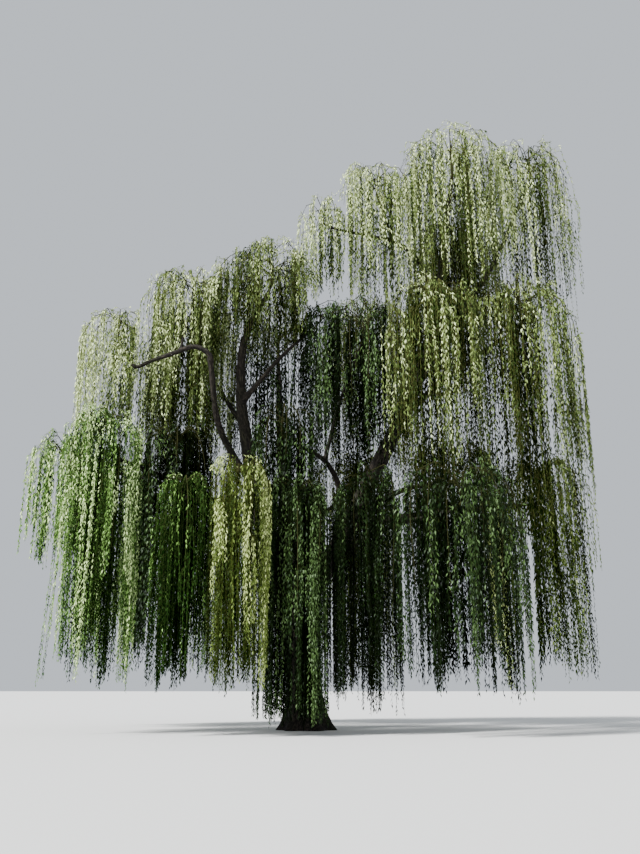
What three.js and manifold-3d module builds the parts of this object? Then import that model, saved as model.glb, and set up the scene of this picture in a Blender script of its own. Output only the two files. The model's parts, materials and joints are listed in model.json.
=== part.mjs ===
// An old weeping willow, 25 m tall and about 22 m across, rooted in level ground.
// Units are millimetres, +Z is up, and the origin is the middle of the flat cut under the trunk.
// A short stout trunk forks into three rising limbs. Boughs leave them, and each bough ends under a
// dome of foliage whose withes arch over and hang, as curtains, round the open space by the trunk.
import * as THREE from "three";
import { mergeVertices } from "three/addons/utils/BufferGeometryUtils.js";
import Module from "manifold-3d";

const wasm = await Module();
wasm.setup();

// Clearances
const GAP = 0.32; // between a limb and what carries it, and between a bough's tip and its leader
const LEAF_CLEARANCE = 150; // between foliage and any limb
const WITHE_CLEARANCE = 70; // the same for the first stretch of a withe, near the bough's tip
const ROOT_ZONE = 350; // how long that stretch is
const SPACE_MARGIN = 0.05; // between the spaces of two masses, as a share of a mass's reach
const SPRAY_SPACING = 210; // between two sprays of one mass
const GROUND_CLEARANCE = 30;

// Trunk
const FORK_HEIGHT = 4300;
const TRUNK_TOP = 5050;
const TRUNK_RADIUS = 600;
const TRUNK_LEAN = -450; // how far the fork stands to the left of the foot
const FLARE = { reach: 400, height: 520, lobes: 6, depth: 0.13, turn: 0.6 };
const TRUNK_SIDES = 22;
const TRUNK_HEIGHTS = [0, 180, 480, 1100, 2500, 3900, 4600, 4900, TRUNK_TOP];

// Limbs
const TIP_RADIUS = { main: 92, bough: 55 };
const COLLAR = { swell: 0.32, length: 0.9 };
const TAPER = 0.85;
const TIP_TO_TIP = 250; // how far a limb that goes on from another's tip keeps to its direction
const LIMB_STEP = 2200; // length of one facet along a limb
const LIMB_SIDES = { thick: 10, middling: 7, thin: 5 };
const LIMB_IS = { thick: 300, middling: 145 }; // from this radius at its root
const FRAME_STEPS = 60; // how finely the turning of a bar along its curve is followed

// Foliage
const DOME_SHARE = 1.08; // height of a mass's round top, as a share of its mean reach
const HUB_SHARE = 0.92; // how far the bough's tip lies below the top, as a share of the dome's height
const LEADER = { top: 0.32, bend: 0.3, end: 0.5 }; // shares of the dome, and of the tip radius
const GOLDEN_ANGLE = Math.PI * (3 - Math.sqrt(5));
const WITHE_COUNT = { least: 4, most: 5, apart: 930 }; // one for so much of a mass's reach each way
const WITHE_RADIUS = { root: 36, end: 17 };
const WITHE_RINGS = [0, 0.12, 0.27, 0.44, 1]; // where along it a withe is bent, closer on the arch
const SHORTEST_WITHE = 1500;
const WITHE_REACH = [0.87, 0.74, 0.61, 0.48, 0.35]; // shares of the mass's reach, tried in turn
const WITHE_LOWERED = [0, 0.3, 0.6]; // how far below the dome a withe may arch, as shares of its height
const SPRAY = { share: 0.36, shortest: 2150, longest: 3600, least: 0.45, waist: 0.36, drift: 0.2 };
const SPRAY_STEP = 0.84; // from one spray's root to the next, as a share of its length
const SPRAY_WIDTH = 0.34; // these three are shares of the mass's mean reach
const SPRAY_ASIDE = 0.24;
const SPRAY_THICK = 0.026;
const BOTTOM_RAG = 0.14; // how unevenly a curtain ends, as a share of its height

const up = new THREE.Vector3(0, 0, 1);
const point = (x, y, z) => new THREE.Vector3(x, y, z);

// The same small generator of even random numbers for every mass, started from its own seed.
function seeded(seed) {
  let state = (seed * 2654435761) >>> 0;
  return () => {
    state = (Math.imul(state ^ (state >>> 15), 2246822519) + 374761393) >>> 0;
    return ((state ^ (state >>> 13)) >>> 0) / 4294967296;
  };
}

// One mass of foliage with the bough that carries it: its tint, its middle and reach in plan, its top
// and bottom, then the limb that its bough leaves, how far along that limb, the bough's radius there,
// and its bend.
function mass(name, tint, [x, y], [reachX, reachY], [top, bottom], bough) {
  const dome = (DOME_SHARE * (reachX + reachY)) / 2;
  const hub = point(x, y, top - HUB_SHARE * dome);
  return { name, tint, x, y, reachX, reachY, top, bottom, dome, hub, ...bough };
}
const from = (parent, share, radius, bend, more = {}) => ({ parent, share, radius, bend, ...more });
const via = (...places) => ({ via: places.map((p) => point(...p)) });

const MASSES = [
  mass("upper_left_dome", "light", [-1650, -1050], [2700, 2300], [19550, 14200],
    from("trunk", 0.86, 400, null, { main: true, limb: "left_limb",
      ...via([-1440, 0, 6600], [-2540, 0, 11400], [-2760, -100, 13300], [-2600, -400, 15400]) })),
  mass("top_dome", "light", [6200, -900], [2750, 2500], [25050, 15400],
    from("trunk", 0.84, 420, null, { main: true, limb: "right_limb",
      ...via([900, 200, 6200], [2300, 300, 9000], [4950, -150, 14800]) })),
  mass("back_dome", "deep", [-1400, 3300], [2600, 2200], [17900, 8200],
    from("trunk", 0.84, 350, null, { main: true, limb: "back_limb",
      ...via([-700, 1250, 6700], [-1150, 2500, 11000]) })),
  mass("left_curtain", "fresh", [-7400, -3100], [1800, 1850], [11500, 1100],
    from("left_limb", 0.17, 230, [0, -250, 450], { limb: "low_left_limb" })),
  mass("left_outer_curtain", "fresh", [-9400, -800], [1500, 1750], [11350, 5700],
    from("low_left_limb", 0.5, 110, [300, 450, 250])),
  mass("left_inner_curtain", "deep", [-4650, -2750], [1850, 1500], [11100, 2000],
    from("low_left_limb", 0.36, 100, [0, -100, 60])),
  mass("front_column", "olive", [-2250, -5000], [1150, 1150], [9150, 1050],
    from("left_limb", 0.25, 150, [0, -150, 520])),
  mass("front_left_curtain", "fresh", [-4150, -4450], [1050, 1200], [8800, 1150],
    from("low_left_limb", 0.2, 120, [0, 100, 420])),
  mass("front_right_curtain", "deep", [-300, -3950], [1450, 1300], [8750, 50],
    from("trunk", 0.9, 170, [0, -200, 420])),
  mass("centre_curtain", "deep", [-800, -2300], [1750, 1400], [12000, 3200],
    from("right_limb", 0.14, 160, null, { limb: "middle_limb",
      ...via([1350, 250, 8700], [850, 0, 10000]) })),
  mass("middle_front_curtain", "deep", [2250, -3350], [1650, 1500], [9500, 300],
    from("right_limb", 0.1, 150, [-100, -150, 350])),
  mass("middle_right_dome", "deep", [2100, -2200], [2200, 1800], [16300, 8700],
    from("middle_limb", 0.6, 95, [-150, 350, 0])),
  mass("right_dome", "light", [4800, -3400], [2200, 1800], [16700, 6400],
    from("right_limb", 0.4, 160, [-150, 0, 0])),
  mass("right_outer_dome", "light", [8100, -2900], [2350, 2100], [16900, 6200],
    from("right_limb", 0.46, 150, [0, 100, 150])),
  mass("far_right_dome", "light", [9750, 0], [2150, 2200], [25050, 15800],
    from("right_limb", 0.6, 170, [350, 100, -350])),
  mass("top_left_arm_dome", "light", [850, -700], [1350, 1500], [21800, 17000],
    from("right_limb", 0.72, 125, null, { limb: "top_left_arm",
      ...via([4300, -650, 19250]) })),
  mass("top_left_dome", "light", [3050, -1050], [2000, 2000], [23300, 15800],
    from("top_left_arm", 0.54, 80, [0, 0, 100])),
  mass("upper_left_tip", "light", [-7550, -1300], [1600, 1600], [16300, 9800],
    from("left_arm_riser", 1, 115, null, { limb: "left_arm",
      ...via([-4350, -2400, 14130], [-5120, -2350, 13900], [-6150, -2150, 13600], [-6750, -1800, 13520]) })),
  mass("upper_left_shoulder", "light", [-4850, -500], [2500, 1700], [18600, 9600],
    from("left_arm", 0.3, 70, [0, -100, 150])),
  mass("upper_left_right_side", "deep", [350, -900], [1500, 1600], [17200, 10600],
    from("left_limb", 0.64, 120, [100, 0, 350])),
  mass("low_right_front_curtain", "deep", [5000, -5100], [2350, 1600], [9100, 800],
    from("right_limb", 0.13, 150, [-100, 0, 250])),
  mass("low_right_curtain", "olive", [9100, -300], [2300, 2200], [10600, 1200],
    from("right_limb", 0.2, 170, [0, 250, 200])),
  mass("low_back_left_curtain", "fresh", [-7450, 2400], [2100, 2000], [11400, 1800],
    from("left_limb", 0.3, 150, [0, 0, 250])),
  mass("back_left_dome", "light", [-5100, 2300], [2300, 1800], [18100, 8200],
    from("left_limb", 0.56, 110, [0, 0, -100])),
  mass("low_back_curtain", "fresh", [-3500, 5700], [2200, 2000], [10400, 1200],
    from("back_limb", 0.34, 140, [0, 0, 350])),
  mass("low_back_right_curtain", "olive", [2100, 6300], [2400, 2000], [12500, 900],
    from("back_limb", 0.2, 150, [-150, 0, 350])),
  mass("back_right_dome", "light", [2850, 3600], [2400, 2100], [19300, 8200],
    from("right_limb", 0.44, 130, [150, 0, -100])),
  mass("low_right_back_curtain", "deep", [6500, 4500], [2600, 2200], [12700, 1400],
    from("right_limb", 0.22, 160, [0, 0, 450])),
  mass("back_top_dome", "light", [6850, 2700], [2500, 2000], [22700, 13000],
    from("right_limb", 0.6, 130, [0, 0, -250])),
];

// The arching arm at the upper left is split at its bend: this is the part that rises to it.
const RISER = {
  limb: "left_arm_riser", parent: "left_limb", share: 0.36, radius: 150, endRadius: 112,
  bend: [-550, 0, 0], hub: point(-3750, -2200, 13600),
};

// Colours: the bark, and the leaves' tint in the upper crown, on the sunny left side, on the yellower
// front column and in the shade.
const BARK = new THREE.MeshStandardMaterial({ color: 0x5b4b3a, roughness: 0.95, metalness: 0 });
const leaves = (color) => new THREE.MeshStandardMaterial({ color, roughness: 0.65, metalness: 0 });
const TINTS = {
  light: leaves(0x93a45c),
  fresh: leaves(0x6d9142),
  olive: leaves(0x8a9448),
  deep: leaves(0x4b6733),
};

function toSolid(geometry) {
  const bare = geometry.clone();
  bare.deleteAttribute("normal");
  bare.deleteAttribute("uv");
  const merged = mergeVertices(bare, 1e-3);
  return new wasm.Manifold(
    new wasm.Mesh({
      numProp: 3,
      vertProperties: new Float32Array(merged.attributes.position.array),
      triVerts: new Uint32Array(merged.index.array),
    }),
  );
}

function toGeometry(solid) {
  const { numProp, numVert, vertProperties, triVerts } = solid.getMesh();
  const places = new Float32Array(numVert * 3);
  for (let i = 0; i < numVert; i++) {
    places.set(vertProperties.subarray(i * numProp, i * numProp + 3), i * 3);
  }
  const geometry = new THREE.BufferGeometry();
  geometry.setAttribute("position", new THREE.BufferAttribute(places, 3));
  geometry.setIndex(new THREE.BufferAttribute(new Uint32Array(triVerts), 1));
  geometry.computeVertexNormals();
  return geometry;
}

// The one connected body of a joined solid: a loose scrap or a sealed hollow is left out.
function largestBody(solid) {
  const bodies = solid.decompose();
  return bodies.reduce((best, body) => (body.volume() > best.volume() ? body : best), bodies[0]);
}

// Trunk: level rings round a leaning centreline, with lobed root flare, closed over at the fork.
function trunkCentre(height) {
  const share = Math.min(1, height / FORK_HEIGHT);
  return point(TRUNK_LEAN * share ** 1.4, 40 * share, height);
}

function trunkRadius(height, angle) {
  const flare = FLARE.reach * Math.exp(-height / FLARE.height);
  const lobe = FLARE.depth * Math.exp(-height / (2 * FLARE.height));
  const lobed = 1 + lobe * Math.cos(FLARE.lobes * angle + FLARE.turn);
  const closing = Math.max(0, (height - FORK_HEIGHT) / (TRUNK_TOP - FORK_HEIGHT));
  return (TRUNK_RADIUS + flare) * lobed * Math.sqrt(1.06 - closing ** 2);
}

function trunkGeometry(grow = 0) {
  const rings = TRUNK_HEIGHTS.length - 1;
  const geometry = new THREE.CylinderGeometry(1, 1, 1, TRUNK_SIDES, rings);
  const places = geometry.attributes.position;
  for (let i = 0; i < places.count; i++) {
    const ring = Math.round((places.getY(i) + 0.5) * rings);
    const height = TRUNK_HEIGHTS[ring];
    const outward = point(places.getX(i), -places.getZ(i), 0);
    const radius = trunkRadius(height, Math.atan2(outward.y, outward.x)) + grow;
    const centre = trunkCentre(height);
    if (ring === rings) centre.z += grow;
    const place = centre.addScaledVector(outward, radius);
    places.setXYZ(i, place.x, place.y, place.z);
  }
  return geometry;
}

// A limb: a round bar bent along its curve, tapering, with a collar where it leaves its parent.
function limbRadius(limb, share) {
  const along = share * limb.length;
  const beyond = Math.max(0, along - limb.parentRadius) / (COLLAR.length * limb.radius);
  const collar = 1 + COLLAR.swell * Math.exp(-beyond);
  return (limb.endRadius + (limb.radius - limb.endRadius) * (1 - share) ** TAPER) * collar;
}

// A bar is a run of straight facets between places on its curve, so that what is rooted on its
// axis is rooted in its wood.
function barAlong(curve, rings, part = 1) {
  const axis = rings.map((share) => curve.getPointAt(share * part));
  const { normals, binormals } = curve.computeFrenetFrames(FRAME_STEPS, false);
  const across = rings.map((share) => Math.round(share * part * FRAME_STEPS));
  const frames = across.map((step) => [normals[step], binormals[step]]);
  const at = (share) => {
    const next = Math.max(1, rings.findIndex((ring) => ring >= share));
    const between = (share - rings[next - 1]) / (rings[next] - rings[next - 1]);
    return axis[next - 1].clone().lerp(axis[next], between);
  };
  return { rings, axis, frames, at };
}

function barGeometry({ rings, axis, frames }, sides, radiusAt) {
  const geometry = new THREE.CylinderGeometry(1, 1, 1, sides, rings.length - 1);
  const places = geometry.attributes.position;
  for (let i = 0; i < places.count; i++) {
    const ring = Math.round((places.getY(i) + 0.5) * (rings.length - 1));
    const [normal, binormal] = frames[ring];
    const radius = radiusAt(rings[ring]);
    const place = axis[ring]
      .clone()
      .addScaledVector(normal, places.getX(i) * radius)
      .addScaledVector(binormal, -places.getZ(i) * radius);
    places.setXYZ(i, place.x, place.y, place.z);
  }
  return geometry;
}

function limbGeometry(limb, grow = 0) {
  const middling = limb.radius > LIMB_IS.middling ? LIMB_SIDES.middling : LIMB_SIDES.thin;
  const sides = limb.radius > LIMB_IS.thick ? LIMB_SIDES.thick : middling;
  return barGeometry(limb.bar, sides, (share) => limbRadius(limb, share) + grow);
}

const limbs = new Map();

function parentPlace(spec) {
  if (spec.parent !== "trunk") return limbs.get(spec.parent).bar.at(spec.share);
  return trunkCentre(spec.share * TRUNK_TOP);
}

function parentRadius(spec) {
  if (spec.parent === "trunk") return TRUNK_RADIUS;
  return spec.share === 1 ? 0 : limbRadius(limbs.get(spec.parent), spec.share);
}

function addLimb(spec) {
  const start = parentPlace(spec);
  const middle = spec.via ?? [start.clone().lerp(spec.hub, 0.5).add(point(...spec.bend))];
  if (spec.share === 1) {
    const ahead = limbs.get(spec.parent).curve.getTangentAt(1);
    start.addScaledVector(ahead, GAP);
    middle.unshift(start.clone().addScaledVector(ahead, TIP_TO_TIP));
  }
  const curve = new THREE.CatmullRomCurve3([start, ...middle, spec.hub], false, "centripetal");
  const length = curve.getLength();
  const steps = Math.max(3, middle.length + 1, Math.round(length / LIMB_STEP));
  limbs.set(spec.limb, {
    name: spec.limb,
    curve,
    bar: barAlong(curve, Array.from({ length: steps + 1 }, (_, k) => k / steps)),
    length,
    radius: spec.radius,
    endRadius: spec.endRadius ?? (spec.main ? TIP_RADIUS.main : TIP_RADIUS.bough),
    parentRadius: parentRadius(spec),
  });
}

for (const spec of MASSES) spec.limb ??= `${spec.name}_bough`;
const waiting = [RISER, ...MASSES];
while (waiting.length) {
  const ready = waiting.findIndex((s) => s.parent === "trunk" || limbs.has(s.parent));
  addLimb(waiting.splice(ready, 1)[0]);
}

// Solids of the trunk and limbs, each cut clear of the ones before it.
const woodSolids = new Map([["trunk", toSolid(trunkGeometry())]]);
const grown = [toSolid(trunkGeometry(GAP))];
for (const limb of limbs.values()) {
  const whole = toSolid(limbGeometry(limb));
  woodSolids.set(limb.name, largestBody(whole.subtract(wasm.Manifold.union(grown))));
  grown.push(toSolid(limbGeometry(limb, GAP)));
}

// Where the wood is, as balls along it, for keeping foliage off it.
const woodBalls = [];
for (const limb of limbs.values()) {
  const count = Math.ceil(limb.length / 120);
  for (let i = 0; i <= count; i++) {
    woodBalls.push({ place: limb.bar.at(i / count), radius: limbRadius(limb, i / count) });
  }
}
for (let height = 0; height <= TRUNK_TOP; height += 120) {
  const radius = trunkRadius(height, -FLARE.turn / FLARE.lobes);
  woodBalls.push({ place: trunkCentre(height), radius });
}
const touchesWood = (place, clearance = LEAF_CLEARANCE) =>
  woodBalls.some((ball) => place.distanceTo(ball.place) < ball.radius + clearance);

// How deep a place lies in a mass: 0 on its upright axis, 1 at its domed outline, more outside.
function depthIn(m, place) {
  const over = Math.max(0, (place.z - (m.top - m.dome)) / m.dome);
  const depth = Math.hypot((place.x - m.x) / m.reachX, (place.y - m.y) / m.reachY, over);
  return place.z < m.bottom ? Math.max(1, depth) + (m.bottom - place.z) / m.dome : depth;
}

function inOwnSpace(m, place) {
  const depth = depthIn(m, place);
  return depth < 1.02 && MASSES.every((k) => k === m || depthIn(k, place) > depth + SPACE_MARGIN);
}

// The leader: the mass's one stem. It goes on from the bough's tip and turns upright.
function leaderOf(m) {
  const bough = limbs.get(m.limb);
  const ahead = bough.curve.getTangentAt(1);
  const start = bough.curve.getPointAt(1).addScaledVector(ahead, GAP);
  const bend = start.clone().addScaledVector(ahead, LEADER.bend * m.dome);
  const end = point(m.x, m.y, m.top - LEADER.top * m.dome);
  const bar = barAlong(new THREE.QuadraticBezierCurve3(start, bend, end), [0, 0.5, 1]);
  const radius = (share) => bough.endRadius * THREE.MathUtils.lerp(0.94, LEADER.end, share);
  return { bar, radius };
}

// A withe: from the leader it climbs to the dome's surface, arches over and hangs.
function withePath(m, start, angle, { reach, lower }, random) {
  const outward = point(m.reachX * Math.cos(angle), m.reachY * Math.sin(angle), 0);
  const fall = point(m.x, m.y, 0).addScaledVector(outward, reach);
  const surface = (share) => m.top - m.dome * (1 - Math.sqrt(1 - (share * reach) ** 2));
  const crest = start.clone().lerp(fall, 0.55).setZ(surface(0.55) - 60 - lower * m.dome);
  const brow = fall.clone().setZ(surface(1) - (0.15 + lower) * m.dome);
  const height = brow.z - m.bottom;
  const end = fall.clone().setZ(m.bottom + height * BOTTOM_RAG * random());
  const middle = brow.clone().lerp(end, 0.5);
  middle.x += 140 * (random() - 0.5);
  middle.y += 140 * (random() - 0.5);
  return new THREE.CatmullRomCurve3([start, crest, brow, middle, end], false, "centripetal");
}

// The length along a withe that stays in its mass's own space and clear of the wood.
function clearLength(m, bar, length) {
  for (let along = 0; along <= length; along += 50) {
    const place = bar.at(along / length);
    if (along < ROOT_ZONE && touchesWood(place, WITHE_CLEARANCE)) return 0;
    if (along >= ROOT_ZONE && (!inOwnSpace(m, place) || touchesWood(place))) return along - 150;
  }
  return length;
}

// The longest stretch of a withe from its root that hangs clear.
function clearStretch(m, curve) {
  const whole = curve.getLength();
  let length = whole;
  while (length > SHORTEST_WITHE) {
    const bar = barAlong(curve, WITHE_RINGS, length / whole);
    const clear = clearLength(m, bar, length);
    if (clear === length) return { bar, length, whole };
    length = clear;
  }
  return { length: 0, whole };
}

// The withe that reaches furthest out on its side of the mass and still hangs clear to its end, or
// else the longest that can be had.
function witheOf(m, leader, index, turn, random) {
  const angle = turn + index * GOLDEN_ANGLE;
  const outward = point(Math.cos(angle), Math.sin(angle), 0);
  const root = leader.bar.at(0.4 + 0.55 * ((0.4 + index * 0.755) % 1));
  let best = { length: 0 };
  const reaches = WITHE_REACH.slice(index % 3 === 2 ? 1 : 0);
  const ways = reaches.flatMap((reach) => WITHE_LOWERED.map((lower) => ({ reach, lower })));
  for (const way of ways) {
    const stretch = clearStretch(m, withePath(m, root, angle, way, random));
    if (stretch.length > best.length) best = { ...stretch, outward };
    if (stretch.length === stretch.whole) break;
  }
  return best;
}

// A spray: a slim eight-faced blade that stands for a tuft of leaves. It is rooted in its withe,
// stands off to one side of it and hangs.
const sprayLength = (m) =>
  THREE.MathUtils.clamp(SPRAY.share * (m.top - m.bottom), SPRAY.shortest, SPRAY.longest);

function sprayShape(m, root, aside, length) {
  const reach = (m.reachX + m.reachY) / 2;
  const hang = (share, out) =>
    root.clone().addScaledVector(aside, out * SPRAY_ASIDE * reach).addScaledVector(up, -share * length);
  const half = (SPRAY_WIDTH * reach * Math.min(1, length / sprayLength(m) + 0.15)) / 2;
  const thick = Math.max(SPRAY_THICK * reach, length / 80);
  return { root, waist: hang(SPRAY.waist, 1), tip: hang(1, 1 + SPRAY.drift), aside, half, thick };
}

function sprayGeometry({ root, waist, tip, aside, half, thick }) {
  const face = new THREE.Vector3().crossVectors(aside, up);
  const geometry = new THREE.OctahedronGeometry(1);
  const places = geometry.attributes.position;
  for (let i = 0; i < places.count; i++) {
    const end = places.getY(i) > 0.5 ? root : tip;
    const level = Math.abs(places.getY(i)) > 0.5 ? end : waist;
    const place = level
      .clone()
      .addScaledVector(aside, places.getX(i) * half)
      .addScaledVector(face, (places.getZ(i) * thick) / 2);
    places.setXYZ(i, place.x, place.y, place.z);
  }
  return geometry;
}

// Places spread over a spray, closer together than the clearance that is kept round a limb.
function placesOn({ root, waist, tip, aside, half }) {
  const places = [];
  const spread = (from, to, share, wide) => {
    const middle = from.clone().lerp(to, share);
    for (const edge of [-1, -0.5, 0, 0.5, 1]) {
      places.push(middle.clone().addScaledVector(aside, edge * wide));
    }
  };
  for (let share = 0.25; share < 1; share += 0.15) spread(root, waist, share, half * share);
  for (let share = 0; share < 1.05; share += 0.1) spread(waist, tip, share, half * (1 - share));
  return places;
}

function spraysAlong(m, withe, taken, random) {
  const solids = [];
  const around = new THREE.Vector3().crossVectors(up, withe.outward);
  let side = random() < 0.5 ? 1 : -1;
  const full = sprayLength(m);
  for (let along = 800; along < withe.length - 500; along += SPRAY_STEP * full) {
    const root = withe.bar.at(along / withe.length);
    const swing = 0.7 * (random() - 0.8);
    const aside = around
      .clone()
      .multiplyScalar(side * Math.cos(swing))
      .addScaledVector(withe.outward, Math.sin(swing));
    side = -side;
    const length = Math.min(full * (0.85 + 0.3 * random()), root.z - m.bottom);
    if (length < SPRAY.least * full) continue;
    const shape = sprayShape(m, root, aside, length);
    const places = placesOn(shape);
    const free = places.every(
      (p) =>
        p.z > GROUND_CLEARANCE &&
        inOwnSpace(m, p) &&
        !touchesWood(p) &&
        taken.every((other) => other.distanceTo(p) > SPRAY_SPACING),
    );
    if (!free) continue;
    taken.push(...places);
    solids.push(toSolid(sprayGeometry(shape)));
  }
  return solids;
}

function foliage(m, index) {
  const random = seeded(index + 11);
  const turn = random() * 2 * Math.PI;
  const leader = leaderOf(m);
  const solids = [toSolid(barGeometry(leader.bar, 4, leader.radius))];
  const wanted = Math.round((m.reachX + m.reachY) / WITHE_COUNT.apart);
  const count = THREE.MathUtils.clamp(wanted, WITHE_COUNT.least, WITHE_COUNT.most);
  const taken = [];
  for (let i = 0; i < count; i++) {
    const withe = witheOf(m, leader, i, turn, random);
    if (withe.length === 0) continue;
    const radius = (share) => THREE.MathUtils.lerp(WITHE_RADIUS.root, WITHE_RADIUS.end, share);
    solids.push(toSolid(barGeometry(withe.bar, 3, radius)));
    solids.push(...spraysAlong(m, withe, taken, random));
  }
  return largestBody(wasm.Manifold.union(solids));
}

const tree = new THREE.Group();
function add(name, solid, material) {
  const mesh = new THREE.Mesh(toGeometry(solid), material);
  mesh.name = name;
  tree.add(mesh);
}
for (const [name, solid] of woodSolids) add(name, solid, BARK);
MASSES.forEach((m, index) => add(m.name, foliage(m, index), TINTS[m.tint]));

export default tree;
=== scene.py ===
# A weeping willow in full leaf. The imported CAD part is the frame; units are metres, +Z is up.
# The wood gets one skin with bark relief. In each mass of foliage the bough's leader goes on into
# withes, the withes into tresses of hanging strands, and the strands carry the leaves.
import itertools
import json
import math

import bmesh
import bpy
import numpy as np
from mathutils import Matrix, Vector, kdtree, noise

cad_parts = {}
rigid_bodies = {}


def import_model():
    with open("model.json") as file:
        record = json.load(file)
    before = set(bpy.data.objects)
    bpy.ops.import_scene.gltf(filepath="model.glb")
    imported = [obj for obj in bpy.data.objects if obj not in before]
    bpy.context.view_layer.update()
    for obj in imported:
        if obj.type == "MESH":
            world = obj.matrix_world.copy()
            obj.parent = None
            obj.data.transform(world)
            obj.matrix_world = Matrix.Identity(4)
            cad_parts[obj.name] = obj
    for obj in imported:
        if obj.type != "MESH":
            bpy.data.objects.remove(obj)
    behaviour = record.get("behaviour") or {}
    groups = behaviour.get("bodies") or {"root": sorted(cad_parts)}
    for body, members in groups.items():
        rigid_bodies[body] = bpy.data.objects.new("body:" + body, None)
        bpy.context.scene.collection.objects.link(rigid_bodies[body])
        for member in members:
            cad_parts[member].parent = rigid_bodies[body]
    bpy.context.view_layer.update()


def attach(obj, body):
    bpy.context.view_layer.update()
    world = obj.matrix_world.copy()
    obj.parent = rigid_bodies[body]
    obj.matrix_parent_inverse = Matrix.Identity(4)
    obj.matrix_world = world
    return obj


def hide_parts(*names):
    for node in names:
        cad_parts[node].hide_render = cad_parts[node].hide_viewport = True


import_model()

# Camera, from the photograph's horizon and the height of its viewer's eyes
PHOTO_HEIGHT = 854  # px
FOCAL_PX = 850
SENSOR = 36  # mm, along the photograph's longer side
CAMERA_AT = (0.5, -33.0, 1.4)
CAMERA_PITCH = math.radians(17.19)
VIEW_END = 2000  # beyond the floor's edge

# Light and floor
SUN_STRENGTH, SUN_WIDTH = 9.0, math.radians(9)
SUN_FROM = (-0.62, -0.5, 0.75)
SKY_COLOR, SKY_STRENGTH = (0.86, 0.92, 1.0), 0.8
FLOOR_SPAN = 900  # from the middle to each edge
FLOOR_COLOR, FLOOR_ROUGHNESS = (0.72, 0.72, 0.7), 0.9

# Trunk
FORK_HEIGHT = 4.3
TRUNK_TOP = 5.05
TRUNK_RADIUS = 0.6
TRUNK_LEAN, TRUNK_BACK = -0.45, 0.04  # where the fork lies from the foot
TRUNK_BOW = 1.4  # the lean grows with this power of the height
TRUNK_CLOSING = 1.06  # over 1, so that the rounded top keeps some width
FLARE = {"reach": 0.4, "height": 0.52, "lobes": 6, "depth": 0.13, "turn": 0.6}
BELOW_CUT = 0.3  # how far the trunk is drawn below the ground before it is cut off level

# Limbs
TIP_RADIUS = {"main": 0.092, "bough": 0.055}
COLLAR_SWELL, COLLAR_LENGTH = 0.32, 0.9  # shares of the radius, where a limb leaves its parent
TAPER = 0.85
TIP_TO_TIP = 0.25  # a limb at its parent's tip goes straight on so far
MAIN_LIMBS = ("left_limb", "right_limb", "back_limb")

# The spaces of the masses: a dome's height is a share of the mean reach, and the bough's tip, the
# hub, lies below the mass's top by a share of that height
DOME_SHARE, HUB_SHARE = 1.08, 0.92
OUTERMOST = 1.09  # the fuzz of the crest goes a little beyond the domed outline
SPACE_MARGIN = 0.03  # of depth, between two masses that overlap
GROUND_CLEARANCE = 0.06
WOOD_CLEARANCE, LEAF_CLEARANCE = 0.05, 0.02

# Growth. The leader: shares of the dome's height, then of the radius of its bough's tip
FIRST_SEED = 500
LEADER_TOP, LEADER_BEND = 0.32, 0.3
LEADER_START, LEADER_END = 0.94, 0.5

# Withes. They leave the leader at shares of its length, and hang at shares of the mass's reach,
# "furthest" the first and "inward" of that the others, nearer by "step" where one doesn't fit.
WITHES_APART = 0.3  # one withe for so much of a mass's reach each way
GOLDEN_ANGLE = math.pi * (3 - math.sqrt(5))
WITHE_STARTS = {"first": 0.3, "run": 0.68, "shift": 0.4, "stride": 0.755}
WITHE_FALLS = {
    "furthest": 0.94, "inward": 0.58, "stride": 0.618, "power": 2.2, "nearest": 0.25, "step": 0.09,
}
WITHE_LOWERED = (0, 0.3, 0.6)  # shares of the dome, tried in turn
# Its way: how deep it is sunk under the dome, its crest, the brow where it turns down, and its end
WITHE_WAY = {
    "sunk": 0.1, "uneven": 0.16, "crest": 0.55, "brow": 0.15, "sway": 0.1,
    "end": 0.16, "end_power": 1.5,
}
WITHE_STEP, WITHE_GAP = 0.06, 0.1  # it is tested so closely, and stops so far before what it meets
SHORTEST_WITHE = 1.0
ROOT_ZONE = 0.35  # its start lies in the wood and isn't tested
DRAWN_BEYOND = 0.2  # how far it is drawn beyond its lowest tress
WITHE_RADIUS, WITHE_TAPER = (0.024, 0.006), 0.6
WITHE_SIDES, WITHE_NODES = 4, 8
LEADER_SIDES, LEADER_NODES = 6, 5

# Curtains hang in long ropes, domes in shorter and looser tufts. A tress is a bundle of about
# "size" strands. Of the tresses, the share "low" leaves the hanging part of a withe, "crest" are
# shoots over the dome and "short" are cut short. "turn" is the spread of the strands' direction,
# and "tones" the random spread of the painted shade among tresses and among sprays: partly the
# leaves' own tone, partly painted glints and shade. "base" is the painted shade at the mass's
# axis and "high" the painted light that its top adds. Leaves crowd toward a strand's tip where
# "leaves" is below 1.
HABITS = {
    "curtain": {
        "size": 5, "low": 0.2, "crest": 0.2, "short": 0.12, "turn": 0.3,
        "tones": (0.65, 0.4), "base": -0.45, "high": 1.1, "leaves": 0.8,
    },
    "dome": {
        "size": 3, "low": 0.34, "crest": 0.18, "short": 0.2, "turn": 0.6,
        "tones": (0.5, 0.55), "base": -0.85, "high": 1.5, "leaves": 0.97,
    },
}
TRESS_TRIES = 4  # candidates for each tress, so that they fall evenly
LOWEST_START = 0.5  # how far down the hanging part of a withe tresses still leave it
# Where a tress leaves its withe and how it falls; pairs are the ends of an even spread
TRESS = {
    "climbing": (0.25, 1.12), "hanging": (0.05, LOWEST_START), "fan": 1.9, "spread": (0.1, 0.55),
    "usual_reach": 1.7, "short": (0.2, 0.75), "fewest": 2, "lift": 1.3, "crest_lift": (1.5, 2.3),
    "crest_turn": 0.9, "shoot": (0.45, 1.3), "above": 0.03, "crest_above": (0, 0.2),
    "arch": (0.45, 0.9), "sway": 0.045,
}
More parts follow.
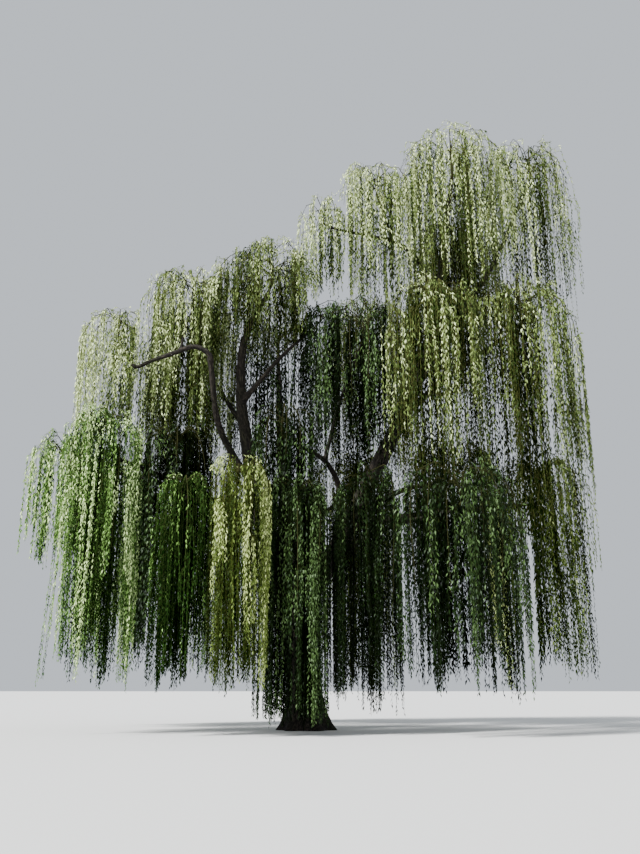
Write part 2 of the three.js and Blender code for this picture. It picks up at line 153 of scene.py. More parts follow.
# How much the strands of one tress differ
APART = {
    "start": 0.1, "spread": (0.7, 1.25), "end": 0.08, "share": 0.03, "sway": 0.015, "phase": 0.25,
}
SWAY = {"waves": 1.3, "drift": 0.35, "onset": 0.5}
# The ragged lower edge of a mass
FRINGE = {"scale": 0.75, "slice": 7.0, "depth": 0.26, "power": 1.5, "jitter": 0.12}
FRINGE_DEPTH = {"front_right_curtain": 0.05, "front_left_curtain": 0.12}  # where it isn't the usual

# Strands
STRANDS_IN_ALL = 11200
STRAND_RADIUS, STRAND_SIDES = (0.007, 0.0035), 3
STRAND_NODES = 4
STRAND_SHARES = np.linspace(0, 1, STRAND_NODES) ** 1.9  # the nodes, closer together in the arch
STRAND_REACH = (0.97, 0.86, 0.75, 0.64, 0.53, 0.42)  # shares of the mass's reach, tried in turn
STRAND_TESTS = 26
STRAND_STARTS = (0.02, 0.98)  # the part of a withe that strands leave
ENOUGH, GAIN = 0.8, 0.3  # cut to less than this share, it tries a nearer reach, for so much more
SHORTEST_AIM, SHORTEST_STRAND = 0.6, 0.35
ARCH_EXTRA = 0.3  # how much longer a strand is than its fall
HEIGHT_POWER = 0.25  # how a mass's height counts in its number of strands
# How many strands a mass gets, as a multiple of what its size gives it
DENSITY = {
    "front_right_curtain": 1.7, "upper_left_dome": 1.8, "upper_left_shoulder": 1.7,
    "upper_left_tip": 1.5, "top_dome": 1.2, "top_left_dome": 1.3, "top_left_arm_dome": 1.5,
    "far_right_dome": 1.2, "left_curtain": 2.2, "left_outer_curtain": 1.3,
    "front_left_curtain": 1.6, "middle_front_curtain": 1.5, "low_back_left_curtain": 1.6,
    "low_back_curtain": 1.4, "front_column": 1.35, "low_right_front_curtain": 1.4,
    "low_right_back_curtain": 1.6, "low_right_curtain": 1.25, "low_back_right_curtain": 1.45,
    "back_top_dome": 1.3, "back_right_dome": 1.2, "back_left_dome": 1.5, "right_dome": 1.25,
    "right_outer_dome": 1.45, "middle_right_dome": 1.2, "left_inner_curtain": 1.35,
}

# Leaves. Angles are in radians.
LEAVES_IN_ALL = 430000
LEAF_LENGTH = 0.175
LEAF_LENGTHS = (0.75, 1.25)  # the shortest and the longest as shares of that
LEAF_PARTS = (0.42, 0.58)  # shares of its length before and after its widest place
LEAF_WIDTH = 0.3  # as a share of its length
INNER_LEAF, INNER_DEPTH = 1.6, 0.65  # leaves grow up to so much larger inward of that depth
LAST_LEAF = 0.25  # how much smaller the leaves are at a strand's tip
FINE_LEAF = 0.82  # the curtains nearest the viewer have smaller leaves, and more of them
FINE = (
    "front_column", "front_left_curtain", "front_right_curtain", "left_curtain",
    "middle_front_curtain",
)
BARE_START, BARE_END = 0.06, 0.002  # metres of a strand without leaves
LEAF_TURN, LEAF_STRAY = 2.4, 0.5  # round the strand from leaf to leaf
ANY_TURN = 6.3  # about once round
LEAF_LEAN = (0.35, 1.0)  # away from the strand
LEAF_ROLL = 1.1
OFF_HEADING = 0.3  # keeps a leaf's width defined where it lies along the strand
LEAF_HANG, TIP_HANG = 0.25, (0.35, 1.1)  # how much a leaf and its tip turn down
SPRAY_LENGTH = 0.7  # the leaves take their painted shade together over so much of a strand
SPRAYS = 24  # different painted shades of spray down a strand
PAINTED_DEPTH_LIGHT = 2.9  # how many painted shades lighter a mass is at its outline than at its axis: painted light outside, painted shade inside
LEAF_ROUGHNESS, LEAF_GLOSS = 0.5, 0.06  # the gloss for each lighter painted shade, none on the darkest
TWIG_ROUGHNESS, WITHE_ROUGHNESS = 0.7, 0.85

# Bark
BARK_VOXEL = 0.052
BARK_RELIEF = 0.012
BARK_SMOOTH = (0.5, 3)  # factor and iterations
SEAM = 0.12  # the furrows fade over so much toward another limb
GRAIN_STRETCH = 0.22  # how far the furrows are drawn out along the limb
FURROW_SCALE = 5.5
FURROWS = (0.9, 2.1, 3, 0.9, 1.6)  # the noise's dimension, lacunarity, octaves, offset and gain
THIN_RELIEF, RELIEF_POWER = 0.08, 0.7  # the relief shrinks with a limb's radius, but not below that
CUT_ZONE = 0.1  # the relief stays level near the cut

# One row for each mass: name, leaf tint, fullness, middle, reach, top and bottom; then its bough:
# name, parent, share along the parent, radius and bend, or the places that the bough goes by.
MASSES = [
    ("upper_left_dome", "light", 1.0, (-1.65, -1.05), (2.7, 2.3), (19.55, 14.2),
     "left_limb", "trunk", 0.86, 0.4,
     [(-1.44, 0, 6.6), (-2.54, 0, 11.4), (-2.76, -0.1, 13.3), (-2.6, -0.4, 15.4)]),
    ("top_dome", "light", 1.0, (6.2, -0.9), (2.75, 2.5), (25.05, 15.4),
     "right_limb", "trunk", 0.84, 0.42, [(0.9, 0.2, 6.2), (2.3, 0.3, 9.0), (4.95, -0.15, 14.8)]),
    ("back_dome", "deep", 1.0, (-1.4, 3.3), (2.6, 2.2), (17.9, 8.2),
     "back_limb", "trunk", 0.84, 0.35, [(-0.7, 1.25, 6.7), (-1.15, 2.5, 11.0)]),
    ("left_curtain", "fresh", 1.0, (-7.4, -3.1), (1.8, 1.85), (11.5, 1.1),
     "low_left_limb", "left_limb", 0.17, 0.23, (0, -0.25, 0.45)),
    ("left_outer_curtain", "fresh", 1.0, (-9.4, -0.8), (1.5, 1.75), (11.35, 5.7),
     "left_outer_curtain_bough", "low_left_limb", 0.5, 0.11, (0.3, 0.45, 0.25)),
    ("left_inner_curtain", "deep", 1.0, (-4.65, -2.75), (1.85, 1.5), (11.1, 2),
     "left_inner_curtain_bough", "low_left_limb", 0.36, 0.1, (0, -0.1, 0.06)),
    ("front_column", "olive", 1.2, (-2.25, -5.0), (1.15, 1.15), (9.15, 1.05),
     "front_column_bough", "left_limb", 0.25, 0.15, (0, -0.15, 0.52)),
    ("front_left_curtain", "fresh", 1.2, (-4.15, -4.45), (1.05, 1.2), (8.8, 1.15),
     "front_left_curtain_bough", "low_left_limb", 0.2, 0.12, (0, 0.1, 0.42)),
    ("front_right_curtain", "deep", 1.6, (-0.3, -3.95), (1.45, 1.3), (8.75, 0.05),
     "front_right_curtain_bough", "trunk", 0.9, 0.17, (0, -0.2, 0.42)),
    ("centre_curtain", "deep", 1.0, (-0.8, -2.3), (1.75, 1.4), (12, 3.2),
     "middle_limb", "right_limb", 0.14, 0.16, [(1.35, 0.25, 8.7), (0.85, 0, 10.0)]),
    ("middle_front_curtain", "deep", 1.0, (2.25, -3.35), (1.65, 1.5), (9.5, 0.3),
     "middle_front_curtain_bough", "right_limb", 0.1, 0.15, (-0.1, -0.15, 0.35)),
    ("middle_right_dome", "deep", 1.0, (2.1, -2.2), (2.2, 1.8), (16.3, 8.7),
     "middle_right_dome_bough", "middle_limb", 0.6, 0.095, (-0.15, 0.35, 0)),
    ("right_dome", "light", 1.0, (4.8, -3.4), (2.2, 1.8), (16.7, 6.4),
     "right_dome_bough", "right_limb", 0.4, 0.16, (-0.15, 0, 0)),
    ("right_outer_dome", "light", 1.0, (8.1, -2.9), (2.35, 2.1), (16.9, 6.2),
     "right_outer_dome_bough", "right_limb", 0.46, 0.15, (0, 0.1, 0.15)),
    ("far_right_dome", "light", 0.9, (9.75, 0), (2.15, 2.2), (25.05, 15.8),
     "far_right_dome_bough", "right_limb", 0.6, 0.17, (0.35, 0.1, -0.35)),
    ("top_left_arm_dome", "light", 0.6, (0.85, -0.7), (1.35, 1.5), (21.8, 17),
     "top_left_arm", "right_limb", 0.72, 0.125, [(4.3, -0.65, 19.25)]),
    ("top_left_dome", "light", 0.9, (3.05, -1.05), (2, 2), (23.3, 15.8),
     "top_left_dome_bough", "top_left_arm", 0.54, 0.08, (0, 0, 0.1)),
    ("upper_left_tip", "light", 0.9, (-7.55, -1.3), (1.6, 1.6), (16.3, 9.8),
     "left_arm", "left_arm_riser", 1, 0.115,
     [(-4.35, -2.4, 14.13), (-5.12, -2.35, 13.9), (-6.15, -2.15, 13.6), (-6.75, -1.8, 13.52)]),
    ("upper_left_shoulder", "light", 0.9, (-4.85, -0.5), (2.5, 1.7), (18.6, 9.6),
     "upper_left_shoulder_bough", "left_arm", 0.3, 0.07, (0, -0.1, 0.15)),
    ("upper_left_right_side", "deep", 0.9, (0.35, -0.9), (1.5, 1.6), (17.2, 10.6),
     "upper_left_right_side_bough", "left_limb", 0.64, 0.12, (0.1, 0, 0.35)),
    ("low_right_front_curtain", "deep", 1.0, (5, -5.1), (2.35, 1.6), (9.1, 0.8),
     "low_right_front_curtain_bough", "right_limb", 0.13, 0.15, (-0.1, 0, 0.25)),
    ("low_right_curtain", "olive", 1.0, (9.1, -0.3), (2.3, 2.2), (10.6, 1.2),
     "low_right_curtain_bough", "right_limb", 0.2, 0.17, (0, 0.25, 0.2)),
    ("low_back_left_curtain", "fresh", 1.0, (-7.45, 2.4), (2.1, 2), (11.4, 1.8),
     "low_back_left_curtain_bough", "left_limb", 0.3, 0.15, (0, 0, 0.25)),
    ("back_left_dome", "light", 0.9, (-5.1, 2.3), (2.3, 1.8), (18.1, 8.2),
     "back_left_dome_bough", "left_limb", 0.56, 0.11, (0, 0, -0.1)),
    ("low_back_curtain", "fresh", 1.0, (-3.5, 5.7), (2.2, 2), (10.4, 1.2),
     "low_back_curtain_bough", "back_limb", 0.34, 0.14, (0, 0, 0.35)),
    ("low_back_right_curtain", "olive", 1.0, (2.1, 6.3), (2.4, 2), (12.5, 0.9),
     "low_back_right_curtain_bough", "back_limb", 0.2, 0.15, (-0.15, 0, 0.35)),
    ("back_right_dome", "light", 1.0, (2.85, 3.6), (2.4, 2.1), (19.3, 8.2),
     "back_right_dome_bough", "right_limb", 0.44, 0.13, (0.15, 0, -0.1)),
    ("low_right_back_curtain", "deep", 1.0, (6.5, 4.5), (2.6, 2.2), (12.7, 1.4),
     "low_right_back_curtain_bough", "right_limb", 0.22, 0.16, (0, 0, 0.45)),
    ("back_top_dome", "light", 1.0, (6.85, 2.7), (2.5, 2), (22.7, 13),
     "back_top_dome_bough", "right_limb", 0.6, 0.13, (0, 0, -0.25)),
]
RISER = {
    "limb": "left_arm_riser", "parent": "left_limb", "share": 0.36, "radius": 0.15,
    "end_radius": 0.112, "bend": (-0.55, 0, 0), "hub": (-3.75, -2.2, 13.6),
}


def mass_of(row):
    name, tint, fullness, middle, reach, (top, bottom), limb, parent, share, radius, way = row
    dome = DOME_SHARE * (reach[0] + reach[1]) / 2
    spec = {
        "name": name, "tint": tint, "fullness": fullness, "top": top, "bottom": bottom,
        "middle": np.array(middle, float), "reach": np.array(reach, float), "dome": dome,
        "limb": limb, "parent": parent, "share": share, "radius": radius,
        "habit": HABITS["curtain" if name.endswith(("curtain", "column")) else "dome"],
        "leaf": LEAF_LENGTH * (FINE_LEAF if name in FINE else 1),
        "hub": (*middle, top - HUB_SHARE * dome),
        "end_radius": TIP_RADIUS["main" if limb in MAIN_LIMBS else "bough"],
    }
    spec["via" if isinstance(way, list) else "bend"] = way
    return spec


masses = [mass_of(row) for row in MASSES]


# Curves
def unit(v):
    return v / np.maximum(np.linalg.norm(v, axis=-1, keepdims=True), 1e-9)


def through(places, steps=60):
    """A centripetal Catmull-Rom curve through places, as the part's source draws it."""
    p = np.array(places, float)
    p = np.vstack([2 * p[0] - p[1], p, 2 * p[-1] - p[-2]])
    t = np.linspace(0, 1, steps, endpoint=False)[:, None]
    runs = []
    for a, b, c, d in zip(p, p[1:], p[2:], p[3:]):
        steps_between = (b - a, c - b, d - c)
        before, between, after = (max(np.linalg.norm(k), 1e-4) ** 0.5 for k in steps_between)
        out = (b - a) / before - (c - a) / (before + between) + (c - b) / between
        into = (c - b) / between - (d - b) / (between + after) + (d - c) / after
        out, into = out * between, into * between
        square, cube = 3 * (c - b) - 2 * out - into, 2 * (b - c) + out + into
        runs.append(b + out * t + square * t**2 + cube * t**3)
    return np.vstack([*runs, p[-2]])


class Line:
    """A curve that is read by its share of the length."""

    def __init__(self, places):
        self.places = places
        self.along = np.r_[0, np.cumsum(np.linalg.norm(np.diff(places, axis=0), axis=1))]
        self.length = self.along[-1]

    def at(self, share):
        s = np.asarray(share, float) * self.length
        return np.stack([np.interp(s, self.along, self.places[:, k]) for k in range(3)], axis=-1)

    def heading(self, share, step=0.01):
        s = np.asarray(share, float)
        return unit(self.at(np.minimum(s + step, 1)) - self.at(np.maximum(s - step, 0)))

    def cut(self, length, nodes=120):
        return Line(self.at(np.linspace(0, length / self.length, nodes)))


# Wood: the trunk's and the limbs' centrelines and radii
def trunk_centre(height):
    share = np.clip(np.asarray(height, float) / FORK_HEIGHT, 0, 1)
    lean = TRUNK_LEAN * share**TRUNK_BOW
    return np.stack([lean, TRUNK_BACK * share, height + 0 * share], axis=-1)


def trunk_radius(height, angle):
    above = np.maximum(height, 0)
    flare = FLARE["reach"] * np.exp(-above / FLARE["height"])
    lobe = FLARE["depth"] * np.exp(-above / (2 * FLARE["height"]))
    closing = np.maximum(0, (height - FORK_HEIGHT) / (TRUNK_TOP - FORK_HEIGHT))
    lobed = 1 + lobe * np.cos(FLARE["lobes"] * angle + FLARE["turn"])
    return (TRUNK_RADIUS + flare) * lobed * np.sqrt(TRUNK_CLOSING - closing**2)


limbs = {}


def limb_radius(limb, share):
    along = share * limb["line"].length
    beyond = np.maximum(0, along - limb["parent_radius"])
    collar = np.exp(-beyond / (COLLAR_LENGTH * limb["radius"]))
    taper = limb["end_radius"] + (limb["radius"] - limb["end_radius"]) * (1 - share) ** TAPER
    return taper * (1 + COLLAR_SWELL * collar)


def add_limb(spec):
    parent, share = limbs.get(spec["parent"]), spec["share"]
    if parent is None:
        start, parent_radius = trunk_centre(share * TRUNK_TOP), TRUNK_RADIUS
    else:
        start, parent_radius = parent["line"].at(share), limb_radius(parent, share)
    hub = np.array(spec["hub"])
    if "via" in spec:
        way = [np.array(place, float) for place in spec["via"]]
    else:
        way = [(start + hub) / 2 + np.array(spec["bend"])]
    if share == 1:
        way.insert(0, start + TIP_TO_TIP * parent["line"].heading(1))
        parent_radius = 0
    limbs[spec["limb"]] = {
        "line": Line(through([start, *way, hub])), "radius": spec["radius"],
        "end_radius": spec["end_radius"], "parent_radius": parent_radius,
    }


waiting = [RISER, *masses]
while waiting:  # each limb once its parent is there
    ready = next(k for k in waiting if k["parent"] == "trunk" or k["parent"] in limbs)
    waiting.remove(ready)
    add_limb(ready)


def wood_balls(apart=0.1):
    """The wood as balls along it, for keeping foliage off it."""
    balls = []
    for limb in limbs.values():
        share = np.linspace(0, 1, int(limb["line"].length / apart) + 2)
        balls.append(np.c_[limb["line"].at(share), limb_radius(limb, share)])
    height = np.arange(0, TRUNK_TOP, apart)
    widest = -FLARE["turn"] / FLARE["lobes"]
    balls.append(np.c_[trunk_centre(height), trunk_radius(height, widest)])
    return np.vstack(balls)


BALLS = wood_balls()


def touches_wood(m, places, clearance=WOOD_CLEARANCE, beside=0.6, above=0.3):
    """Which of these places of a mass lie in or near the wood that is in or round the mass."""
    box = np.r_[m["middle"] - m["reach"] - beside, m["middle"] + m["reach"] + beside]
    near = BALLS[((BALLS[:, :2] > box[:2]) & (BALLS[:, :2] < box[2:])).all(axis=1)]
    near = near[(near[:, 2] > m["bottom"] - beside) & (near[:, 2] < m["top"] + above)]
    touched = np.zeros(len(places), bool)
    for ball in near:
        touched |= ((places - ball[:3]) ** 2).sum(axis=1) < (ball[3] + clearance) ** 2
    return touched


# Spaces: how deep a place lies in a mass, 0 on its upright axis and 1 at its domed outline
def depth_in(m, places):
    over = np.maximum(0, (places[:, 2] - (m["top"] - m["dome"])) / m["dome"])
    flat = (places[:, :2] - m["middle"]) / m["reach"]
    depth = np.sqrt((flat**2).sum(axis=1) + over**2)
    below = np.maximum(0, m["bottom"] - places[:, 2]) / m["dome"]
    return np.where(below > 0, np.maximum(1, depth) + below, depth)


def in_own_space(m, places):
    """Which of these places lie in the mass, and deeper in it than in any other."""
    depth = depth_in(m, places)
    inside = (depth < OUTERMOST) & (places[:, 2] > GROUND_CLEARANCE)
    for other in masses:
        if other is not m:
            inside &= depth_in(other, places) > depth + SPACE_MARGIN
    return inside


# Foliage: the leader goes on from the bough's tip and turns upright
def leader_of(m, nodes=30):
    bough = limbs[m["limb"]]["line"]
    start = bough.at(1)
    bend = start + LEADER_BEND * m["dome"] * bough.heading(1)
    end = np.array([*m["middle"], m["top"] - LEADER_TOP * m["dome"]])
    t = np.linspace(0, 1, nodes)[:, None]
    return Line((1 - t) ** 2 * start + 2 * t * (1 - t) * bend + t**2 * end)


def dome_height(m, places):
    """The height of a mass's domed outline over these places."""
    flat = (((places[..., :2] - m["middle"]) / m["reach"]) ** 2).sum(axis=-1)
    return m["top"] - m["dome"] * (1 - np.sqrt(np.maximum(0, 1 - flat)))


def withe_of(m, start, angle, reach, lower, rng):
    """A withe climbs from the leader to the dome, arches over and hangs while it stays clear."""
    way = WITHE_WAY
    fall = m["middle"] + reach * m["reach"] * np.array([math.cos(angle), math.sin(angle)])
    sunk = way["sunk"] + (lower + way["uneven"] * rng.random()) * m["dome"]
    crest = (start[:2] + way["crest"] * (fall - start[:2])).tolist()
    crest_z = dome_height(m, np.array(crest)) - sunk
    brow_z = dome_height(m, fall) - way["brow"] * m["dome"] - sunk
    end_z = m["bottom"] + (brow_z - m["bottom"]) * way["end"] * rng.random() ** way["end_power"]
    sway = rng.uniform(-way["sway"], way["sway"], 2)
    half_way = (*(fall + sway), (brow_z + end_z) / 2)
    line = Line(through([start, (*crest, crest_z), (*fall, brow_z), half_way, (*fall, end_z)]))
    along = np.arange(0, line.length, WITHE_STEP)
    on_it = line.at(along / line.length)
    blocked = (along > ROOT_ZONE) & (~in_own_space(m, on_it) | touches_wood(m, on_it))
    clear = along[blocked.argmax()] - WITHE_GAP if blocked.any() else line.length
    if clear < SHORTEST_WITHE:
        return None
    brow_along = line.along[np.linalg.norm(line.places - (*fall, brow_z), axis=1).argmin()]
    drawn = min(1, (brow_along + LOWEST_START * (clear - brow_along) + DRAWN_BEYOND) / clear)
    return {"line": line.cut(clear), "brow": min(brow_along, clear), "drawn": drawn, "angle": angle}


def withes_of(m, leader, rng):
    """Withes round the leader, each as far out as one fits there."""
    starts, falls = WITHE_STARTS, WITHE_FALLS
    turn = 2 * math.pi * rng.random()
    count = round(m["reach"].sum() / WITHES_APART)
    withes = []
    for k in range(count):
        along = (starts["shift"] + k * starts["stride"]) % 1
        start = leader.at(starts["first"] + starts["run"] * along)
        inward = ((k * falls["stride"]) % 1) ** falls["power"]
        furthest = falls["furthest"] - falls["inward"] * inward
        nearer = np.arange(furthest, falls["nearest"], -falls["step"])
        for reach, lower in itertools.product(nearer, WITHE_LOWERED):
            withe = withe_of(m, start, turn + k * GOLDEN_ANGLE, reach, lower, rng)
            if withe:
                withes.append(withe)
                break
    return withes


def outward(angle, distance):
    """Steps of so far in these directions, on the level."""
    return np.stack([np.cos(angle), np.sin(angle)], axis=1) * distance[:, None]


def evenly(places, count, tries):
    """Of each few candidates in turn, the one that is furthest from those already picked."""
    picked = [0]
    apart = np.linalg.norm(places - places[0], axis=1)
    for k in range(1, count):
        candidates = slice(k * tries, (k + 1) * tries)
        best = k * tries + apart[candidates].argmax()
        picked.append(best)
        apart = np.minimum(apart, np.linalg.norm(places - places[best], axis=1))
    return np.array(picked)


def tresses_of(m, withes, wanted, rng):
    """Tresses leave the withes, each a bundle of strands that fall together: a row for a strand."""
    habit = m["habit"]
    count = round(wanted / habit["size"])
    many = count * TRESS_TRIES
    withe = rng.integers(0, len(withes), many)
    brow = np.array([w["brow"] for w in withes])[withe]
    length = np.array([w["line"].length for w in withes])[withe]
    kind = np.tile(rng.random(count)[:, None], TRESS_TRIES).ravel()
    low, crest = kind < habit["low"], kind > 1 - habit["crest"]
    along = brow * rng.uniform(*TRESS["climbing"], many)
    along = np.where(low, brow + (length - brow) * rng.uniform(*TRESS["hanging"], many), along)
    angle = np.array([w["angle"] for w in withes])[withe]
    angle = angle + rng.uniform(-TRESS["fan"], TRESS["fan"], many)
    spread = rng.uniform(*TRESS["spread"], many) * m["reach"].mean() / TRESS["usual_reach"]
    lines = [withes[k]["line"] for k in withe]
    falls = np.array([line.at(min(a / line.length, 1)) for line, a in zip(lines, along)])
    falls = falls[:, :2] + outward(angle, spread)
    best = evenly(falls, count, TRESS_TRIES)
    drawn = (withe, along, angle, spread, low, crest)
    withe, along, angle, spread, low, crest = (values[best] for values in drawn)
    short = (rng.random(count) < habit["short"]) | low
    share = np.where(short, rng.uniform(*TRESS["short"], count), 1)
    size = np.maximum(TRESS["fewest"], rng.poisson(habit["size"], count))
    tress = np.repeat(np.arange(count), size)
    n = len(tress)
    lift = np.where(crest, rng.uniform(*TRESS["crest_lift"], count), TRESS["lift"])[tress]
    turn = np.where(crest, TRESS["crest_turn"], habit["turn"])[tress]
    crest = crest[tress]
    return {
        "tress": tress,
        "withe": withe[tress],
        "along": along[tress] + rng.normal(0, APART["start"], n),
        "angle": angle[tress] + rng.normal(0, 1, n) * turn,
        "spread": spread[tress] * rng.uniform(*APART["spread"], n),
        "jitter": (
            np.abs(rng.normal(0, FRINGE["jitter"], count))[tress]
            + np.abs(rng.normal(0, APART["end"], n))
        ),
        "share": share[tress] * (1 - np.abs(rng.normal(0, APART["share"], n))),
        "shoot": np.where(crest, rng.uniform(*TRESS["shoot"], n), np.inf),
        "lift": lift,
        "above": np.where(crest, rng.uniform(*TRESS["crest_above"], n), TRESS["above"]),
        "arch": rng.uniform(*TRESS["arch"], n),
        "sway": (
            rng.normal(0, TRESS["sway"], (count, 2))[tress] + rng.normal(0, APART["sway"], (n, 2))
        ),
        "phase": rng.uniform(0, 2 * math.pi, count)[tress] + rng.normal(0, APART["phase"], n),
    }


def fringe_of(m, places):
    """The height at which strands that fall over these places end: ragged groups."""
    scaled = places / FRINGE["scale"]
    rough = np.array([noise.noise(Vector((*place, FRINGE["slice"]))) for place in scaled])
    share = np.clip(0.5 + rough, 0, 1) ** FRINGE["power"]
    depth = FRINGE_DEPTH.get(m["name"], FRINGE["depth"])
    return m["bottom"] + depth * (m["top"] - m["bottom"]) * share


def strand_places(m, t, start, along, reach):
    """Places along the strands: out from the withe in a low arch, within a share of the mass's
    reach, then straight down with a slight sway."""
    s = along[..., None] / t["arch"][:, None, None]
    x = np.minimum(s, 1)
    flat = start[:, None, :2] + outward(t["angle"], t["spread"])[:, None] * (1 - (1 - x) ** 2)
    wave = np.sin(along * SWAY["waves"] + t["phase"][:, None])[..., None]
    sway = t["sway"][:, None] * (wave + SWAY["drift"] * along[..., None])
    flat = flat + sway * np.minimum(1, SWAY["onset"] * s)
    depth = np.sqrt((((flat - m["middle"]) / m["reach"]) ** 2).sum(axis=-1, keepdims=True))
    inward = np.minimum(1, reach[:, None, None] / np.maximum(depth, 1e-6))
    flat = m["middle"] + (flat - m["middle"]) * inward
    drop = along[..., None] - t["arch"][:, None, None] * t["lift"][:, None, None] * (x - x * x / 2)
    z = start[:, None, 2:] - drop
    z = np.minimum(z, (dome_height(m, flat) + t["above"][:, None])[..., None])
    return np.concatenate([flat, z], axis=-1)


def clear_lengths(m, t, start, longest, reach):
    """How far down each strand stays in the mass's own space and off the wood."""
    steps = np.linspace(0, 1, STRAND_TESTS)
    tested = strand_places(m, t, start, longest[:, None] * steps, reach)
    flat = tested.reshape(-1, 3)
    blocked = ~in_own_space(m, flat) | touches_wood(m, flat)
    blocked = blocked.reshape(tested.shape[:2])
    blocked[:, 0] = False
    first = np.where(blocked.any(axis=1), blocked.argmax(axis=1), len(steps))
    return longest * steps[first - 1]


def strands_of(m, withes, wanted, rng):
    """The strands' nodes, cut where they would leave the mass's own space or touch a limb."""
    t = tresses_of(m, withes, wanted, rng)
    along = np.array([w["line"].length for w in withes])[t["withe"]]
    share = np.clip(t["along"] / along, *STRAND_STARTS)
    start = np.zeros((len(share), 3))
    for k, w in enumerate(withes):
        mine = t["withe"] == k
        start[mine] = w["line"].at(share[mine])
    end = fringe_of(m, start[:, :2] + outward(t["angle"], t["spread"])) + t["jitter"]
    aim = (start[:, 2] - end) * t["share"] + ARCH_EXTRA
    longest = np.minimum(np.maximum(SHORTEST_AIM, aim), t["shoot"])
    reach = np.full(len(start), STRAND_REACH[0])
    length = clear_lengths(m, t, start, longest, reach)
    for nearer in STRAND_REACH[1:]:
        short = np.flatnonzero(length < ENOUGH * longest)
        mine = {key: value[short] for key, value in t.items()}
        tried = np.full(len(short), nearer)
        got = clear_lengths(m, mine, start[short], longest[short], tried)
        better = got > length[short] + GAIN
        reach[short[better]] = nearer
        length[short[better]] = got[better]
    kept = length > SHORTEST_STRAND
    t = {key: value[kept] for key, value in t.items()}
    start, length, reach = start[kept], length[kept], reach[kept]
    nodes = strand_places(m, t, start, length[:, None] * STRAND_SHARES, reach)
    return nodes, t["tress"]


# Meshes
def placed(name, data):
    obj = bpy.data.objects.new(name, data)
    bpy.context.scene.collection.objects.link(obj)
    return obj


def mesh_object(name, places, faces, materials, index=None):
    mesh = bpy.data.meshes.new(name)
    mesh.vertices.add(len(places))
    mesh.vertices.foreach_set("co", np.ascontiguousarray(places, np.float32).ravel())
    mesh.loops.add(faces.size)
    mesh.loops.foreach_set("vertex_index", np.ascontiguousarray(faces, np.int32).ravel())
    mesh.polygons.add(len(faces))
    loop_starts = np.arange(0, faces.size, faces.shape[1], dtype=np.int32)
    mesh.polygons.foreach_set("loop_start", loop_starts)
    for material in materials:
        mesh.materials.append(material)
    if index is not None:
        mesh.polygons.foreach_set("material_index", np.ascontiguousarray(index, np.int32))
    mesh.update(calc_edges=True)
    return placed(name, mesh)


def side_of(heading):
    """A direction square to each heading."""
    helper = np.where(np.abs(heading[..., 2:]) > 0.9, [1.0, 0, 0], [0, 0, 1.0])
    return unit(np.cross(heading, helper))


def tubes(paths, radii, sides):
    """Open tubes along many paths with the same number of nodes, as places and triangles."""
    count, nodes, _ = paths.shape
    heading = unit(np.gradient(paths, axis=1))
    side = side_of(heading)
    other = np.cross(heading, side)
    turn = 2 * math.pi * np.arange(sides) / sides
    ring = side[..., None, :] * np.cos(turn)[:, None] + other[..., None, :] * np.sin(turn)[:, None]
    places = (paths[..., None, :] + ring * radii[..., None, None]).reshape(-1, 3)
    first = (np.arange(count)[:, None, None] * nodes + np.arange(nodes - 1)[:, None]) * sides
    here, after = first + np.arange(sides), first + (np.arange(sides) + 1) % sides
    faces = np.stack([here, here + sides, after, after, here + sides, after + sides], axis=-1)
    return places, faces.reshape(-1, 3)


def joined(parts):
    """Several (places, faces) as one."""
    first = np.cumsum([0] + [len(p) for p, _ in parts[:-1]])
    return np.vstack([p for p, _ in parts]), np.vstack([f + k for (_, f), k in zip(parts, first)])


# Leaves: narrow blades of two faces, bent at their widest place so that the tip hangs
def leaf_roots(m, nodes, spacing, rng):
    """Where the leaves leave the strands: strand, order on it, share of it, place and heading."""
    runs = np.linalg.norm(np.diff(nodes, axis=1), axis=2)
    along = np.concatenate([np.zeros((len(nodes), 1)), np.cumsum(runs, axis=1)], axis=1)
    length = along[:, -1]
    count = np.maximum(1, ((length - BARE_START) / spacing).astype(int))
    strand = np.repeat(np.arange(len(nodes)), count)
    order = np.arange(len(strand)) - np.repeat(np.cumsum(count) - count, count)
    share = ((order + rng.random(len(strand))) / count[strand]) ** m["habit"]["leaves"]
    s = np.clip((length[strand] - BARE_START) * share + BARE_START, 0, length[strand] - BARE_END)
    run = np.clip((along[strand] <= s[:, None]).sum(axis=1) - 1, 0, nodes.shape[1] - 2)
    between = ((s - along[strand, run]) / np.maximum(runs[strand, run], 1e-6))[:, None]
    before, after = nodes[strand, run], nodes[strand, run + 1]
    root = before * (1 - between) + after * between
    return strand, order, s / length[strand], root, unit(after - before)


